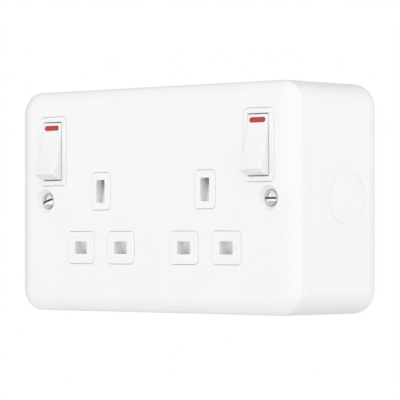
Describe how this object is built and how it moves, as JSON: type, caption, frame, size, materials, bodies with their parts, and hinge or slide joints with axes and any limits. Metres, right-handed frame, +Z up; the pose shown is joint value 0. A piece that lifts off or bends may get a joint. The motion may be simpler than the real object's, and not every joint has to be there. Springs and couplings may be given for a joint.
{
  "type": "twin switched mains socket",
  "caption": "White surface mounted twin mains socket with two rocker switches, red neon windows, sliding shutters and a deep metal wall box.",
  "frame": {"origin": "middle of the flat back face of the wall box, which lies on the wall", "axes": "+Y into the wall, so the front faces -Y; +X to the right seen from the front; +Z up"},
  "size_m": [0.1494, 0.0552, 0.0876],
  "materials": {
    "white_paint": "smooth satin powder coat",
    "white_moulding": "smooth gloss moulding",
    "base_moulding": "plain moulding",
    "grey_moulding": "plain moulding",
    "bright_plate": "bright plated",
    "red_lens": "clear red, polished",
    "lamp_glass": "clear",
    "resistor_body": "lacquered",
    "steel": "zinc plated",
    "contact_brass": "stamped"
  },
  "bodies": {
    "housing": {"front_plate": "white_paint", "back_box": "white_paint", "socket_front": "white_moulding", "socket_base": "base_moulding", "left_plate_screw": "bright_plate", "right_plate_screw": "bright_plate", "left_neon_lamp": "lamp_glass", "right_neon_lamp": "lamp_glass", "left_neon_resistor": "resistor_body", "right_neon_resistor": "resistor_body", "plate_nuts": "steel", "base_screws": "steel", "terminal_screws": "steel", "box_earth_screw": "steel", "left_fixing_lug": "steel", "right_fixing_lug": "steel", "box_earth_terminal": "contact_brass", "live_feed_bar": "contact_brass", "neutral_feed_bar": "contact_brass", "earth_bar": "contact_brass", "live_terminal": "contact_brass", "neutral_terminal": "contact_brass", "left_earth_terminal": "contact_brass", "right_earth_terminal": "contact_brass", "left_earth_clip": "contact_brass", "left_shutter_spring": "steel", "left_live_load_contact": "contact_brass", "left_neutral_load_contact": "contact_brass", "right_earth_clip": "contact_brass", "right_shutter_spring": "steel", "right_live_load_contact": "contact_brass", "right_neutral_load_contact": "contact_brass"},
    "left_rocker": {"left_rocker": "white_moulding", "left_neon_lens": "red_lens", "left_live_plunger": "grey_moulding", "left_live_plunger_spring": "steel", "left_neutral_plunger": "grey_moulding", "left_neutral_plunger_spring": "steel"},
    "right_rocker": {"right_rocker": "white_moulding", "right_neon_lens": "red_lens", "right_live_plunger": "grey_moulding", "right_live_plunger_spring": "steel", "right_neutral_plunger": "grey_moulding", "right_neutral_plunger_spring": "steel"},
    "left_contacts": {"left_live_moving_contact": "contact_brass", "left_neutral_moving_contact": "contact_brass"},
    "right_contacts": {"right_live_moving_contact": "contact_brass", "right_neutral_moving_contact": "contact_brass"},
    "left_shutter": {"left_shutter": "grey_moulding"},
    "right_shutter": {"right_shutter": "grey_moulding"}
  },
  "joints": [
    {"name": "left_rocker_tilt", "type": "hinge", "parent": "housing", "child": "left_rocker", "pos_m": [-0.0557, -0.04795, 0.0199], "axis": [1, 0, 0], "range_deg": [0, 26.2]},
    {"name": "left_contact_rock", "type": "hinge", "parent": "housing", "child": "left_contacts", "pos_m": [-0.0557, -0.033, 0.0199], "axis": [1, 0, 0], "range_deg": [-12, 0]},
    {"name": "left_shutter_slide", "type": "slide", "parent": "housing", "child": "left_shutter", "axis": [0, 0, -1], "range_m": [0, 0.0062], "stiffness_N_per_m": 100, "springref_m": -0.006, "deforming": ["left_shutter_spring"]},
    {"name": "right_rocker_tilt", "type": "hinge", "parent": "housing", "child": "right_rocker", "pos_m": [0.0557, -0.04795, 0.0199], "axis": [1, 0, 0], "range_deg": [0, 26.2]},
    {"name": "right_contact_rock", "type": "hinge", "parent": "housing", "child": "right_contacts", "pos_m": [0.0557, -0.033, 0.0199], "axis": [1, 0, 0], "range_deg": [-12, 0]},
    {"name": "right_shutter_slide", "type": "slide", "parent": "housing", "child": "right_shutter", "axis": [0, 0, -1], "range_m": [0, 0.0062], "stiffness_N_per_m": 100, "springref_m": -0.006, "deforming": ["right_shutter_spring"]}
  ],
  "couplings": [
    {"joint": "left_contact_rock", "follows": "left_rocker_tilt", "ratio": -0.458},
    {"joint": "right_contact_rock", "follows": "right_rocker_tilt", "ratio": -0.458}
  ]
}
